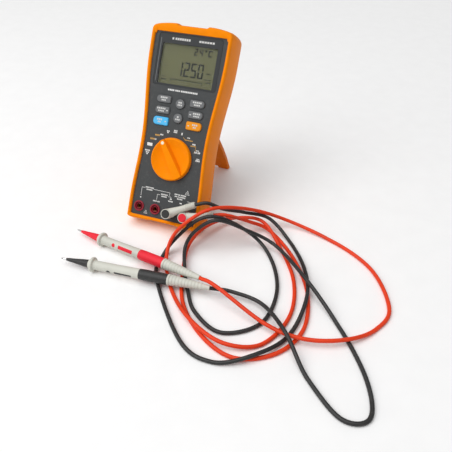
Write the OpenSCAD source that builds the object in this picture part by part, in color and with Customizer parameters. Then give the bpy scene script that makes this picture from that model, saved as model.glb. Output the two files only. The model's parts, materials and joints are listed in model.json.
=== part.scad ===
/* [Holster] */
// Overall length of the holster along the face
holster_len = 212.5; // [211.5:0.1:213.5]
// Half width of the holster at its top
top_half = 46; // [45.5:0.1:46.5]
// Half width of the holster at its waist
waist_half = 40; // [39.5:0.1:40.5]
// Half width of the holster at its bottom
bottom_half = 43; // [42.5:0.1:43.5]
// Height of the waist above the bottom edge
waist_y = 92; // [88:1:96]
// Thickness of the holster's side walls
wall = 3; // [2.8:0.1:3]
// Height of the rim above the dark face
rim_h = 2.4; // [2:0.1:2.6]

/* [Stance] */
// Backward lean of the meter on its open stand, in degrees
lean = 32; // [31.5:0.1:32.5]
// Length of the stand from its hinge to its foot
stand_len = 104.9; // [104:0.1:107]
// Height of the stand's hinge along the face
hinge_y = 124; // [123:0.5:125]

/* [Face] */
// Thickness of the front panel
panel_t = 2.2; // [2.2:0.1:2.3]
// Height of the knob's centre along the face
knob_y = 74.6; // [74:0.1:75]
// Radius of the knob
knob_r = 22.6; // [22:0.1:23.5]
// Angle of the knob's pointer from the X axis, in degrees
pointer_angle = 124; // [8.5:16.5:173.5]
// Height of the row of jacks along the face
jack_y = 18.8; // [18:0.1:19.5]
// Spacing of the jacks, the usual three quarters of an inch
jack_pitch = 19; // [18.9:0.1:19.1]
// Inner radius of a jack's metal sleeve
jack_bore = 2.01; // [2:0.01:2.02]

/* [Leads] */
// Diameter of the leads
lead_d = 3.8; // [3.6:0.1:3.8]
// Direction of the black plug's arm above the X axis, in degrees
black_arm_angle = 28.5; // [28:0.5:30]
// Direction of the red plug's arm above the X axis, in degrees
red_arm_angle = 16.4; // [15:0.1:18]
// Length of each probe from its tip to the end of its boot
probe_len = 158; // [158:0.5:160]

/* [Hidden] */
$fn = 48;

orange = [0.95, 0.5, 0.08];
dark = [0.22, 0.23, 0.23];
grey = [0.45, 0.46, 0.46];
pale_grey = [0.78, 0.78, 0.72];
black = [0.1, 0.1, 0.1];
red = [0.85, 0.16, 0.14];
jack_red = [0.5, 0.05, 0.12];
steel = [0.75, 0.76, 0.78];
brass = [0.8, 0.65, 0.3];
board_green = [0.05, 0.35, 0.2];

// The meter is drawn with X across the face, Y up the face and Z out of it; z = 0 is the dark face.
// It touches the ground along a line this deep behind the face, and stands mid_y behind the origin.
contact_depth = 14;
mid_y = 63;

// Case depths behind the face
front_z = -14.6;
rear_top_z = -15.4;
back_z = -30.5;
back_t = 2;
case_gap = 0.3;
case_in = wall + case_gap;
cavity_in = case_in + 2.2;
corner_r = 7;
inner_r = 1;
crown_fade = 10;
foot_in = 2.4;
boss_spots = [[37.2, 190], [-37.2, 190], [30, 32], [-30, 32]];
boss_r = 3.2;
screw_r = 1.2;
thread_r = 1.25;

// Display
window_x = 30.5;
window_y0 = 151;
window_y1 = 191.5;
lens_t = 1.4;

// Board
board_top = -10;
board_t = 1.6;

// Keys: position, size, outer end radius, side of the rounder end, colour
key_rows = [135, 123.7, 112.3];
key_x = 18.7;
key_size = [16, 7.5];
big_key_size = [17, 8.5];
round_key_r = 5;
round_key_y = [132.3, 117.6];
key_top = 1.8;
key_bottom = -4;
key_play = 0.3;

// Knob and switch
shaft_r = 6;
shaft_gap = 0.05;
spigot_r = 4;
rotor_top = -5.4;
rotor_bottom = -8.4;
plunger_ring_r = 15;

// Jacks and plugs
jack_x = [-1.5 * jack_pitch, -0.5 * jack_pitch, 0.5 * jack_pitch, 1.5 * jack_pitch];
shroud_r = 5.2;
collar_r = 5.75;
collar_h = 1.2;
inner_tube_r = 3.2;
groove_r = 4.2;
sleeve_r = 2.6;
pin_r = 1.98;
plug_head_r = 5.2;
plug_top = 15.6;
arm_z = 10.5;
arm_len = 33;

// Battery bay at the back
bay_x = 21.2;
bay_y0 = 76.5;
bay_y1 = 124.5;
cell_r = 5.15;
cell_len = 44.5;
cell_z = -22.7;
cell_x = [-15.6, -5.2, 5.2, 15.6];
door_x = 24;
door_y0 = 67;
door_y1 = 127;
door_t = 1.6;
door_screw_x = 14;
door_screw_y = 70.6;

// Stand
hinge_z = -36.3;
hinge_pin_r = 1.5;
barrel_r = 3;
hinge_world = world_point([0, hinge_y, hinge_z]);
stand_tilt = acos(hinge_world[2] / stand_len);

// Fuses
fuse_x = 18;
fuse_y = 51;
fuse_r = 5.15;
fuse_z = -17.6;
fuse_lens = [38, 35];

// Probe axes: tip, heading from the X axis, rise along the axis, roll about the axis
black_tip = [-74, -151, 6.8];
black_heading = 3.4;
black_rise = 1.5;
black_roll = 107;
red_tip = [-84, -106, 5.6];
red_heading = -10.8;
red_rise = 3.15;
red_roll = 60;

// Routes of the leads, from the plug's arm to the probe's boot
black_start = arm_point(jack_x[2], black_arm_angle, arm_len);
black_end = probe_point(black_tip, black_heading, black_rise, probe_len);
black_route = [
    black_start,
    [51, -62, 45], [66, -56, 37], [83, -37, 23], [108, -26, 13], [136, -43, 2], [160, -80, 5],
    [171, -118, 6.5], [166, -162, 2], [145, -195, 6.8], [113, -211, 2], [78, -200, 2],
    [26, -139, 2], [19, -109, 3], [28, -90, 16], [50, -80, 38], [72, -71, 37], [101, -57, 10],
    [125, -76, 2], [142, -116, 2], [139, -158, 2], [109, -180, 2], [78, -166, 2], [61, -143, 2.2],
    [50, -124, 6.8], [39, -96, 11], [48, -87, 28], [68, -80, 41], [93, -64, 23], [124, -60, 8],
    [166, -101, 12], [204, -137, 2], [235, -183, 2], [243, -217, 2], [222, -225, 2], [190, -199, 2],
    [163, -168, 12], [134, -140, 6.5], [104, -136, 7.5],
    black_end
];
red_start = arm_point(jack_x[3], red_arm_angle, arm_len);
red_end = probe_point(red_tip, red_heading, red_rise, probe_len);
red_route = [
    red_start,
    [69, -67, 38.5], [79, -60, 33], [91, -42, 16], [108, -34, 5], [132, -51, 2], [156, -81, 2],
    [172, -115, 2], [176, -154, 2], [160, -185, 2], [128, -201, 2], [94, -189, 2], [63, -159, 2],
    [45, -116, 2], [39, -86, 6], [48, -62, 13], [65, -35, 8], [100, -30, 11], [130, -58, 3],
    [154, -98, 2], [161, -142, 2], [146, -180, 2], [115, -193, 6.5], [79, -179, 6.5], [48, -150, 2],
    [26, -116, 3], [25, -96, 19], [41, -83, 37.5], [62, -68, 46], [90, -36, 28], [124, -17, 9],
    [176, -26, 2], [222, -55, 2], [245, -101, 2], [236, -131, 2], [212, -155, 6.8], [178, -166, 7],
    [142, -161, 7], [90, -142, 16],
    red_end
];

// ---------- frame ----------
function world_point(p) = [
    p[0],
    p[1] * sin(lean) - (p[2] + contact_depth) * cos(lean) - mid_y,
    p[1] * cos(lean) + (p[2] + contact_depth) * sin(lean)
];

module posed() {
    translate([0, -mid_y, 0]) rotate([90 - lean, 0, 0]) translate([0, 0, contact_depth]) children();
}

// Everything below the ground plane, raised by gap, in the meter's own frame
module below_ground(gap) {
    translate([0, 0, -contact_depth]) rotate([lean - 90, 0, 0]) translate([-150, -150, gap - 100])
        cube([300, 300, 100]);
}

// ---------- outline of the holster and the case ----------
function ease(t) = (1 - cos(180 * t)) / 2;
function mix(a, b, t) = a + (b - a) * t;
function half_width(y) =
    y < 25 ? bottom_half :
    y < waist_y ? mix(bottom_half, waist_half, ease((y - 25) / (waist_y - 25))) :
    y < 182 ? mix(waist_half, top_half, ease((y - waist_y) / (182 - waist_y))) : top_half;
function arch(x) = 2.2 * cos(90 * x / 40) + (x < 16 ? 0.5 : 0);
function crown(x) = x < 15.5 ? 1.8 : x < 17.5 ? 0.9 * (17.5 - x) : 2.8 * pow((x - 17.5) / 22.5, 2);

// Right half from the bottom middle to the top middle, moved in by side, foot and head
function corner(inset) = max(corner_r - inset, inner_r);
function half_outline(side, foot, head) = let (
    side_r = corner(side),
    low_x = bottom_half - side - side_r,
    top_x = top_half - side - side_r,
    low_y = arch(bottom_half - corner_r) + foot + corner(foot),
    top_y = holster_len - crown(top_half - corner_r) - head - corner(head)
) concat(
    [for (x = [0, 8, 15.5, 17.5, 23, 28]) [x, arch(x) * (1 - foot / crown_fade) + foot]],
    [for (a = [-90:18:0]) [low_x + side_r * cos(a), low_y + corner(foot) * sin(a)]],
    [for (y = [25:13.5:187]) [half_width(y) - side, y]],
    [for (a = [0:18:90]) [top_x + side_r * cos(a), top_y + corner(head) * sin(a)]],
    [for (x = [30, 23, 17.5, 15.5, 8, 0]) [x, holster_len - crown(x) * (1 - head / crown_fade) - head]]
);
function whole_outline(half) = concat(half,
    [for (i = [len(half) - 2:-1:1]) [-half[i][0], half[i][1]]]);
function outline(inset) = whole_outline(half_outline(inset, foot_in + inset, inset));

module outline_plate(inset, z0, z1) {
    translate([0, 0, z0]) linear_extrude(z1 - z0) polygon(outline(inset));
}

// One section round the holster: side, foot and head insets, depth, and how far above the
// ground plane its foot stays
function holster_ring(row) = let (
    floor_y = row[4] - (row[3] + contact_depth) * tan(lean)
) [for (p = whole_outline(half_outline(row[0], row[1], row[2]))) [p[0], max(p[1], floor_y), row[3]]];

holster_profile = [
    [5.9, 9, 10, 1.3, 9],
    [3.6, 6.4, 3.4, rim_h, 0],
    [2, 4.9, 1.5, 1.4, 0],
    [1.3, 4.2, 0.7, -0.8, 0],
    [0.5, 3, 0.2, -6, 0],
    [0, foot_in, 0, -14, 0],
    [0, foot_in, 0, -18, 0],
    [0.6, foot_in + 0.6, 0.6, -27, 0],
    [2, foot_in + 2, 2, -31, 0],
    [4.5, foot_in + 4.5, 4.5, -33, 0],
    [8, foot_in + 8, 8, -33, 8],
    [8, foot_in + 8, 8, back_z, 8],
    [wall, foot_in + wall, wall, back_z, wall],
    [wall, foot_in + wall, wall, -19, wall],
    [wall, foot_in + wall, wall, 0, wall],
    [5.9, 9, 10, 0, 9]
];

module holster_skin() {
    rings = [for (row = holster_profile) holster_ring(row)];
    n = len(rings[0]);
    m = len(rings);
    polyhedron(
        points = [for (ring = rings) each ring],
        faces = [for (j = [0:m - 1]) for (i = [0:n - 1]) let (
            a = j * n + i,
            b = j * n + (i + 1) % n,
            c = ((j + 1) % m) * n + (i + 1) % n,
            d = ((j + 1) % m) * n + i
        ) each [[a, b, c], [a, c, d]]],
        convexity = 6
    );
}

lug_x0 = 24.6;
lug_x1 = 29.2;

module holster() color(orange) posed() {
    difference() {
        union() {
            holster_skin();
            // Band across the back that carries the stand
            translate([-37, hinge_y - 12, -33]) cube([74, 24, 2.3]);
            for (side = [-1, 1]) translate([side * (lug_x0 + lug_x1) / 2, hinge_y, hinge_z]) {
                rotate([0, 90, 0]) cylinder(r = 4, h = lug_x1 - lug_x0, center = true);
                translate([0, 0, 2]) cube([lug_x1 - lug_x0, 8, 4], center = true);
            }
        }
        translate([-50, hinge_y, hinge_z]) rotate([0, 90, 0]) cylinder(r = hinge_pin_r, h = 100);
    }
}

// ---------- stand ----------
stand_top_half = 22;
stand_foot_half = 27;
// Half width of the stand down its length, each with its share of the length
stand_flare = [[22.2, 0.15], [22.8, 0.28], [24.4, 0.43], [26.2, 0.6], [27, 0.78]];
arch_half = 15;
arch_h = 5;
rib_w = 4;

module stand_outline(inset, arch) {
    foot_y = -stand_len - 4 + 4 * inset;
    half = concat(
        [[stand_top_half - inset, -inset]],
        [for (row = stand_flare) [row[0] - inset, -row[1] * stand_len]],
        [
            [stand_foot_half - inset, foot_y],
            [arch_half + inset, foot_y],
            [arch_half - 2, -stand_len + arch + inset]
        ]
    );
    polygon(concat(half, [for (i = [len(half) - 1:-1:0]) [-half[i][0], half[i][1]]]));
}

module tilt_stand() color(orange) {
    difference() {
        translate(hinge_world) rotate([stand_tilt, 0, 0]) difference() {
            union() {
                rotate([0, 90, 0]) cylinder(r = barrel_r, h = 2 * lug_x0 - 0.6, center = true);
                rotate([90, 0, 0]) translate([0, 0, -1.5]) linear_extrude(3) stand_outline(0, arch_h);
                // Raised edge on the outer side
                rotate([90, 0, 0]) translate([0, 0, -3.5]) linear_extrude(3) difference() {
                    stand_outline(0, arch_h);
                    stand_outline(rib_w, arch_h);
                }
            }
            for (side = [-1, 1]) translate([side * (lug_x0 - 3.6), 0, 0]) rotate([0, 90, 0])
                cylinder(r = hinge_pin_r + 0.05, h = 10, center = true);
        }
        translate([-50, 0, -20]) cube([100, 200, 20]);
    }
}

module stand_pins() color(steel) posed() {
    for (side = [-1, 1]) translate([side * (lug_x1 - 6.5), hinge_y, hinge_z]) rotate([0, 90, 0])
        cylinder(r = hinge_pin_r, h = 13, center = true);
}

// ---------- small outlines ----------
function arc(cx, cy, r, start) = [for (a = [0:18:90]) [cx + r * cos(start + a), cy + r * sin(start + a)]];
function round_box(w, h, left_r, right_r) = concat(
    arc(w / 2 - right_r, h / 2 - right_r, right_r, 0),
    arc(left_r - w / 2, h / 2 - left_r, left_r, 90),
    arc(left_r - w / 2, left_r - h / 2, left_r, 180),
    arc(w / 2 - right_r, right_r - h / 2, right_r, 270)
);

module prism(w, h, left_r, right_r, z0, z1) {
    translate([0, 0, z0]) linear_extrude(z1 - z0) polygon(round_box(w, h, left_r, right_r));
}

module box(x0, x1, y0, y1, z0, z1) {
    translate([x0, y0, z0]) cube([x1 - x0, y1 - y0, z1 - z0]);
}

module ring(outer, inner, z0, z1) {
    translate([0, 0, z0]) difference() {
        cylinder(r = outer, h = z1 - z0);
        translate([0, 0, -1]) cylinder(r = inner, h = z1 - z0 + 2);
    }
}

// ---------- keys ----------
oblong_keys = [
    ["key_top_left", -key_x, key_rows[0], key_size],
    ["key_top_right", key_x, key_rows[0], key_size],
    ["key_middle_left", -key_x, key_rows[1], key_size],
    ["key_middle_right", key_x, key_rows[1], key_size],
    ["key_blue", -key_x, key_rows[2], big_key_size],
    ["key_orange", key_x, key_rows[2], big_key_size]
];

// An oblong key with its rounder end away from the middle, grown by extra all round
module oblong(at, size, extra, z0, z1) {
    left_r = at < 0 ? 3.6 : 1.6;
    right_r = at < 0 ? 1.6 : 3.6;
    prism(size[0] + 2 * extra, size[1] + 2 * extra, left_r + extra, right_r + extra, z0, z1);
}

module oblong_key(i) {
    key = oblong_keys[i];
    posed() translate([key[1], key[2], 0]) {
        oblong(key[1], key[3], 0, key_bottom, key_top - 0.6);
        oblong(key[1], key[3], -0.5, key_top - 0.6, key_top);
        oblong(key[1], key[3], 0.9, -3.6, -2.6);
    }
}

module round_key(y) {
    posed() translate([0, y, 0]) rotate_extrude() polygon([
        [0, key_bottom], [round_key_r, key_bottom], [round_key_r, -3.6], [round_key_r + 0.9, -3.6],
        [round_key_r + 0.9, -2.6], [round_key_r, -2.6], [round_key_r, key_top - 0.6],
        [round_key_r - 0.6, key_top], [0, key_top]
    ]);
}

module key_top_left() color(grey) oblong_key(0);
module key_top_right() color(grey) oblong_key(1);
module key_middle_left() color(grey) oblong_key(2);
module key_middle_right() color(grey) oblong_key(3);
module key_blue() color([0.2, 0.65, 0.9]) oblong_key(4);
module key_orange() color(orange) oblong_key(5);
module key_round_upper() color(grey) round_key(round_key_y[0]);
module key_round_lower() color(grey) round_key(round_key_y[1]);

module keypad_mat() color(pale_grey) posed() {
    box(-29, 29, 106.5, 141, -6.6, -5.2);
    for (key = oblong_keys) translate([key[1], key[2], -9.9]) cylinder(r = 3, h = 3.4);
    for (y = round_key_y) translate([0, y, -9.9]) cylinder(r = 3, h = 3.4);
}

// ---------- cases ----------
module front_case() color(dark) posed() difference() {
    union() {
        difference() {
            outline_plate(case_in, front_z, 0);
            outline_plate(cavity_in, front_z - 1, -panel_t);
        }
        for (spot = boss_spots) translate([spot[0], spot[1], front_z]) cylinder(r = boss_r, h = 13);
        // Hub round the knob's shaft and the ring that the plungers click on
        translate([0, knob_y, 0]) ring(9.5, shaft_r + shaft_gap, -5, -panel_t + 0.1);
        translate([0, knob_y, 0]) ring(17, 13, -3.5, -panel_t + 0.1);
    }
    below_ground(case_in);
    for (spot = boss_spots) translate([spot[0], spot[1], front_z - 1]) cylinder(r = thread_r, h = 11);
    translate([0, 175, 0]) prism(70.4, 52.4, 3.2, 3.2, -lens_t, 1);
    box(-window_x, window_x, window_y0, window_y1, -5, 1);
    for (key = oblong_keys) translate([key[1], key[2], 0]) oblong(key[1], key[3], key_play, -5, 1);
    for (y = round_key_y) translate([0, y, -5]) cylinder(r = round_key_r + key_play, h = 6);
    translate([0, knob_y, -6]) cylinder(r = shaft_r + shaft_gap, h = 7);
    translate([0, knob_y, -6]) cylinder(r = 8.3, h = 3.2);
    for (x = jack_x) translate([x, jack_y, -5]) cylinder(r = shroud_r + 0.05, h = 6);
}

module rear_case() color(dark) posed() difference() {
    union() {
        difference() {
            outline_plate(case_in, back_z, rear_top_z);
            difference() {
                outline_plate(cavity_in, back_z + back_t, rear_top_z + 1);
                below_ground(cavity_in);
            }
        }
        for (spot = boss_spots) translate([spot[0], spot[1], back_z + 1])
            cylinder(r = 4.2, h = rear_top_z - back_z - 1);
        // Battery bay walls and the land that the door screws bite into
        box(-26, 26, 65, 129, -28.6, -26.5);
        box(-23, 23, 75, 126, -28.6, -16.5);
    }
    below_ground(case_in);
    for (spot = boss_spots) translate([spot[0], spot[1], back_z - 1]) {
        cylinder(r = 1.6, h = 20);
        cylinder(r = 3, h = 4);
    }
    box(-bay_x, bay_x, bay_y0, bay_y1, -29, -16);
    box(-door_x - 0.2, door_x + 0.2, door_y0 - 0.2, door_y1 + 0.2, back_z - 1, back_z + back_t);
    for (side = [-1, 1]) translate([side * door_screw_x, door_screw_y, -29]) cylinder(r = thread_r, h = 4);
    box(-8.1, 8.1, 182.9, 191.1, back_z - 1, back_z + 1.1);
}

module case_gasket() color(black) posed() difference() {
    outline_plate(case_in + 0.4, rear_top_z, front_z);
    outline_plate(cavity_in - 0.2, rear_top_z - 1, front_z + 1);
    below_ground(case_in + 0.4);
}

module screw(head_r, head_h, reach) {
    difference() {
        union() {
            cylinder(r = head_r, h = head_h);
            cylinder(r = screw_r, h = reach);
        }
        for (turn = [0, 90]) rotate([0, 0, turn]) translate([0, 0, 0.4])
            cube([2 * head_r * 0.7, 0.7, 1], center = true);
    }
}

module case_screws() color(steel) posed() {
    for (spot = boss_spots) translate([spot[0], spot[1], back_z + 1]) screw(2.8, 2, 23);
}

module battery_door() color(dark) posed() difference() {
    box(-door_x, door_x, door_y0, door_y1, back_z, back_z + door_t);
    for (side = [-1, 1]) translate([side * door_screw_x, door_screw_y, back_z - 1]) {
        cylinder(r = 1.5, h = 4);
        cylinder(r = 2.7, h = 1.9);
    }
}

module door_gasket() color(black) posed() difference() {
    box(-23.6, 23.6, 74, 126.6, back_z + door_t, back_z + back_t);
    box(-bay_x - 0.4, bay_x + 0.4, bay_y0 - 0.4, bay_y1 + 0.4, -30, -28);
}

module door_screws() color(steel) posed() {
    for (side = [-1, 1]) translate([side * door_screw_x, door_screw_y, back_z + 0.1])
        screw(2.5, 0.8, 4);
}

module battery_cells() color([0.75, 0.55, 0.2]) posed() {
    for (x = cell_x) translate([x, 78 + cell_len / 2, cell_z]) rotate([90, 0, 0]) {
        cylinder(r = cell_r - 0.05, h = cell_len - 1.2, center = true);
        cylinder(r = 1.9, h = cell_len, center = true);
    }
}

module battery_contacts() color(steel) posed() {
    for (x = cell_x) {
        box(x - 3.5, x + 3.5, bay_y0, bay_y0 + 0.4, cell_z - 3.5, cell_z + 3.5);
        translate([x, bay_y0 + 1.5, cell_z]) rotate([90, 0, 0]) cylinder(r1 = 1.5, r2 = 2.8, h = 1.1);
        box(x - 3.5, x + 3.5, bay_y1 - 0.4, bay_y1, cell_z - 3.5, cell_z + 3.5);
        translate([x, bay_y1 - 0.4, cell_z]) rotate([90, 0, 0]) cylinder(r = 1.6, h = 1.6);
    }
}

// ---------- board and display ----------
module main_board() color(board_green) posed() difference() {
    outline_plate(cavity_in + 1, board_top - board_t, board_top);
    below_ground(cavity_in + 1);
    for (spot = boss_spots) translate([spot[0], spot[1], -20]) cylinder(r = boss_r + 0.3, h = 20);
    for (x = jack_x) translate([x, jack_y, -20]) cylinder(r = shroud_r + 0.2, h = 20);
}

module lcd_frame() color(pale_grey) posed() difference() {
    box(-33.6, 33.6, 149.6, 200, board_top + 0.1, -panel_t - 0.1);
    box(-32.2, 32.2, 150.4, 193.2, board_top - 1, -3);
    box(-window_x - 0.5, window_x + 0.5, window_y0 - 0.4, window_y1 + 0.4, -4, 0);
}

module lcd_glass() color([0.5, 0.54, 0.4]) posed() box(-32, 32, 150.6, 193, -5.2, -3.1);

module light_guide() color([0.9, 0.92, 0.95]) posed() box(-31.5, 31.5, 153.4, 190.2, -7.8, -5.3);

module zebra_strips() color([0.85, 0.5, 0.5]) posed() {
    for (y = [150.8, 191]) box(-30, 30, y, y + 1.9, board_top, -5.2);
}

module display_lens() color([0.35, 0.4, 0.4], 0.6) posed() translate([0, 175, 0])
    prism(70, 52, 3, 3, -lens_t, -0.1);

// ---------- knob and switch ----------
bar_top = 6.5;

module knob() color(orange) posed() translate([0, knob_y, 0]) difference() {
    union() {
        rotate_extrude() polygon([
            [0, 0.2], [knob_r, 0.2], [knob_r, 2.2], [knob_r - 1, 4.2], [knob_r - 2, 4.5],
            [knob_r - 8, 1.6], [0, 1.1]
        ]);
        intersection() {
            // Grip bar, narrow at the pointer and wide at its tail
            rotate([0, 0, pointer_angle]) hull() {
                for (end = [[knob_r, 2.2], [-knob_r, 4.4]]) for (side = [-1, 1]) {
                    translate([end[0], side * end[1], 1]) cylinder(r = 1.8, h = 0.1, $fn = 24);
                    translate([end[0], side * (end[1] - 0.8), bar_top - 0.4])
                        cylinder(r = 1, h = 0.4, $fn = 24);
                }
            }
            cylinder(r = knob_r - 0.8, h = 10);
        }
        translate([0, 0, rotor_top]) cylinder(r = shaft_r, h = -rotor_top + 1);
        translate([0, 0, rotor_bottom]) cylinder(r = spigot_r, h = 4);
    }
    rotate([0, 0, pointer_angle]) translate([18.5, 0, bar_top - 0.8]) cylinder(r = 1.7, h = 2);
}

module knob_pointer() color([0.95, 0.92, 0.8]) posed() translate([0, knob_y, 0])
    rotate([0, 0, pointer_angle]) translate([18.5, 0, bar_top - 0.8]) cylinder(r = 1.7, h = 1);

module knob_seal() color(black) posed() translate([0, knob_y, -3.95])
    rotate_extrude() translate([7.2, 0]) circle(r = 1, $fn = 24);

module switch_rotor() color([0.9, 0.9, 0.88]) posed() translate([0, knob_y, rotor_bottom]) difference() {
    cylinder(r = 19, h = rotor_top - rotor_bottom);
    translate([0, 0, -1]) cylinder(r = spigot_r + 0.02, h = 5);
    for (turn = [0, 180]) rotate([0, 0, turn]) translate([plunger_ring_r, 0, -1]) cylinder(r = 1.3, h = 5);
}

module rotor_contacts() color(brass) posed() translate([0, knob_y, rotor_bottom]) {
    for (i = [0:2]) rotate([0, 0, 60 + 120 * i]) translate([7 + 3.5 * i, 0, 0]) rotate([90, 0, 0])
        translate([0, 0, -1]) linear_extrude(2)
            polygon([
                [-3, 0], [3, 0], [2, -1.4], [1, -1.4], [1.8, -0.4], [-1.8, -0.4], [-1, -1.4], [-2, -1.4]
            ]);
}

module detent_plungers() color(steel) posed() translate([0, knob_y, 0]) {
    for (turn = [0, 180]) rotate([0, 0, turn]) translate([plunger_ring_r, 0, rotor_bottom + 0.2])
        rotate_extrude() polygon([[0, 0], [1.25, 0], [1.25, 3.4], [0.9, 4], [0.4, 4.3], [0, 4.4]]);
}

// ---------- jacks ----------
module jack_shroud(x) posed() translate([x, jack_y, 0]) difference() {
    union() {
        translate([0, 0, -24]) cylinder(r = shroud_r, h = 24);
        cylinder(r = collar_r, h = collar_h);
    }
    ring(groove_r, inner_tube_r, -16, collar_h + 1);
    translate([0, 0, -22]) cylinder(r = sleeve_r, h = 22 + collar_h + 1);
}

module jack_shrouds_red() color(jack_red) for (i = [0, 1, 3]) jack_shroud(jack_x[i]);
module jack_shroud_black() color(black) jack_shroud(jack_x[2]);

module jack_sleeves() color(brass) posed() {
    for (x = jack_x) translate([x, jack_y, 0]) ring(sleeve_r, jack_bore, -22, -2);
}

// ---------- fuses, buzzer, window ----------
module fuse(side, length) posed() translate([side * fuse_x, fuse_y, fuse_z]) rotate([90, 0, 0]) {
    cylinder(r = fuse_r - 0.35, h = length - 1, center = true);
    for (end = [-1, 1])
        translate([0, 0, end * (length / 2 - 4)]) cylinder(r = fuse_r, h = 8, center = true);
}

module fuse_main() color([0.9, 0.88, 0.8]) fuse(1, fuse_lens[0]);
module fuse_low() color([0.9, 0.88, 0.8]) fuse(-1, fuse_lens[1]);

module fuse_clips() color(brass) posed() {
    for (side = [-1, 1]) for (end = [-1, 1]) {
        half_len = fuse_lens[side > 0 ? 0 : 1] / 2;
        translate([side * fuse_x, fuse_y + end * (half_len - 4), 0]) difference() {
            box(-5.8, 5.8, -3, 3, -20, board_top - board_t);
            box(-5.25, 5.25, -4, 4, -21, -12);
        }
    }
}

module buzzer() color(black) posed() translate([0, 150, board_top - board_t - 5.5]) difference() {
    cylinder(r = 10, h = 5.5);
    translate([0, 0, -1]) cylinder(r = 1.2, h = 3);
}

module infrared_window() color([0.15, 0.02, 0.05]) posed() box(-8, 8, 183, 191, back_z + 0.1, back_z + 1);

// ---------- plugs ----------
function arm_point(x, angle, s) = world_point([x + s * cos(angle), jack_y + s * sin(angle), arm_z]);

module plug_shell(x, angle) posed() translate([x, jack_y, 0]) difference() {
    union() {
        translate([0, 0, collar_h + 0.2]) cylinder(r = plug_head_r, h = plug_top - collar_h - 0.2);
        ring(4.05, 3.35, -14, collar_h + 1);
        translate([0, 0, arm_z]) rotate([0, 0, angle]) rotate([0, 90, 0]) rotate_extrude() polygon(concat(
            [[0, 0], [4.6, 0], [4.5, 6], [3.5, 15], [3.3, 21]],
            [for (z = [22:2:30]) each [[3.5, z], [3.5, z + 1], [3, z + 1.4], [3, z + 1.6]]],
            [[3.2, 32.4], [2.9, arm_len], [0, arm_len]]
        ));
    }
    translate([0, 0, plug_top - 0.6]) cylinder(r = 4.5, h = 2);
    translate([0, 0, -20]) cylinder(r = pin_r, h = 26);
}

module plug_cap(x) posed() translate([x, jack_y, plug_top - 0.6]) {
    cylinder(r = 4.4, h = 0.8);
    cylinder(r = 3.9, h = 1.1);
}

module plug_pin(x) posed() translate([x, jack_y, -18]) rotate_extrude()
    polygon([[0, 0], [1.3, 0], [pin_r, 1.2], [pin_r, 24], [0, 24]]);

module black_plug_shell() color(pale_grey) plug_shell(jack_x[2], black_arm_angle);
module red_plug_shell() color(pale_grey) plug_shell(jack_x[3], red_arm_angle);
module black_plug_cap() color(black) plug_cap(jack_x[2]);
module red_plug_cap() color(red) plug_cap(jack_x[3]);
module black_plug_pin() color(steel) plug_pin(jack_x[2]);
module red_plug_pin() color(steel) plug_pin(jack_x[3]);

// ---------- leads ----------
lead_sides = 8;
steps_per_span = 2;

// Smooth curve through four points, at t between the middle two
function spline(a, b, c, d, t) =
    0.5 * (2 * b + (c - a) * t + (2 * a - 5 * b + 4 * c - d) * t * t + (3 * b - a - 3 * c + d) * t * t * t);
function on_ground(p) = [p[0], p[1], max(p[2], lead_d / 2 + 0.1)];
function smooth(route) = let (last = len(route) - 1) concat(
    [for (i = [0:last - 1]) for (k = [0:steps_per_span - 1]) on_ground(spline(
        i > 0 ? route[i - 1] : 2 * route[0] - route[1], route[i], route[i + 1],
        i < last - 1 ? route[i + 2] : 2 * route[last] - route[last - 1], k / steps_per_span))],
    [route[last]]
);
function unit(v) = v / norm(v);

// Tube along a route, its first and last faces square to the given directions
module tube(route, first_dir, last_dir) {
    path = smooth(route);
    n = len(path);
    rings = [for (i = [0:n - 1]) let (
        ahead = i == 0 ? first_dir : i == n - 1 ? last_dir : unit(path[i + 1] - path[i - 1]),
        side = unit(cross(ahead, [0, 0, 1])),
        up = cross(side, ahead)
    ) each [for (k = [0:lead_sides - 1]) path[i] + lead_d / 2
        * (side * cos(360 * k / lead_sides) + up * sin(360 * k / lead_sides))]];
    polyhedron(
        points = rings,
        faces = concat(
            [[for (k = [0:lead_sides - 1]) k]],
            [for (i = [0:n - 2]) for (k = [0:lead_sides - 1]) let (
                a = i * lead_sides + k,
                b = i * lead_sides + (k + 1) % lead_sides
            ) each [[a, a + lead_sides, b + lead_sides], [a, b + lead_sides, b]]],
            [[for (k = [lead_sides - 1:-1:0]) (n - 1) * lead_sides + k]]
        ),
        convexity = 10
    );
}

module black_lead() color(black) tube(black_route,
    unit(black_start - arm_point(jack_x[2], black_arm_angle, 0)), unit(black_tip - black_end));
module red_lead() color(red) tube(red_route,
    unit(red_start - arm_point(jack_x[3], red_arm_angle, 0)), unit(red_tip - red_end));

// ---------- probes ----------
function probe_point(tip, heading, rise, s) = tip
    + s * [cos(rise) * cos(heading), cos(rise) * sin(heading), sin(rise)];

module along(tip, heading, rise, roll) {
    translate(tip) rotate([0, 90 - rise, heading]) rotate([0, 0, roll]) children();
}

module black_axis() along(black_tip, black_heading, black_rise, black_roll) children();
module red_axis() along(red_tip, red_heading, red_rise, red_roll) children();

nose_end = 32;
body_end = 86.5;
grip_end = 116;
core_r = 3.6;

module probe_tip() rotate_extrude() polygon([[0, 0], [0.35, 0.3], [1, 3], [1, 28], [0, 28]]);

module probe_nose() difference() {
    rotate_extrude() polygon([[0, 6.4], [1.35, 6.4], [1.9, 10], [2.4, 16], [3.4, 24], [4, nose_end - 1],
        [4.2, nose_end], [0, nose_end]]);
    cylinder(r = 1, h = 28);
}

module probe_body() difference() {
    rotate_extrude() polygon([
        [0, nose_end], [4.6, nose_end], [4.6, 33.8], [5.2, 34.2],
        [7.2, 34.6], [7.5, 35.2], [7.5, 36.6], [7.1, 37.2],
        [5.2, 38], [4.7, 40], [4.7, 62], [5, 78], [5.2, 85], [5.2, body_end], [0, body_end]
    ]);
    translate([0, 0, 39]) cylinder(r = core_r + 0.05, h = 60);
    probe_windows(0);
}

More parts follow.
